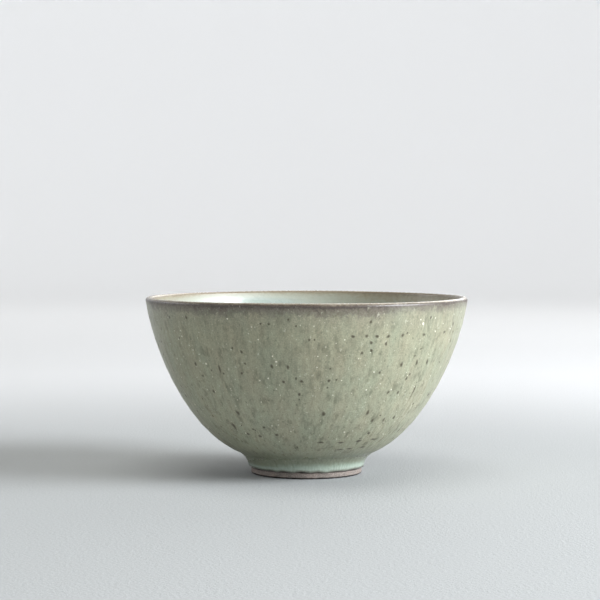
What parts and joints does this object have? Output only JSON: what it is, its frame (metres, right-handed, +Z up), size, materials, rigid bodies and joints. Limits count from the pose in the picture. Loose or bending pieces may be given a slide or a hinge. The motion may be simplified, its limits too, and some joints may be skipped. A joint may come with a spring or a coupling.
{
  "type": "rice bowl",
  "caption": "Deep round stoneware rice bowl on a small turned foot ring, glazed inside and out, with a dark thin lip and a bare clay foot.",
  "frame": {"origin": "middle of the foot ring, on the surface that the bowl stands on", "axes": "+Z up along the axis that the bowl was turned on; X and Y lie in the table"},
  "size_m": [0.12, 0.12, 0.066],
  "materials": {
    "bare_clay": "matte",
    "olive_ash_glaze": "satin",
    "iron_glaze": "satin",
    "pale_inner_glaze": "gloss",
    "pooled_well_glaze": "gloss",
    "celadon_roll_glaze": "gloss"
  },
  "bodies": {
    "root": {"clay_body": "bare_clay", "foot_ring": "bare_clay", "outer_glaze": "olive_ash_glaze", "lip_glaze": "iron_glaze", "inner_glaze": "pale_inner_glaze", "well_glaze": "pooled_well_glaze", "foot_glaze_roll": "celadon_roll_glaze", "recess_glaze": "celadon_roll_glaze"}
  },
  "joints": []
}
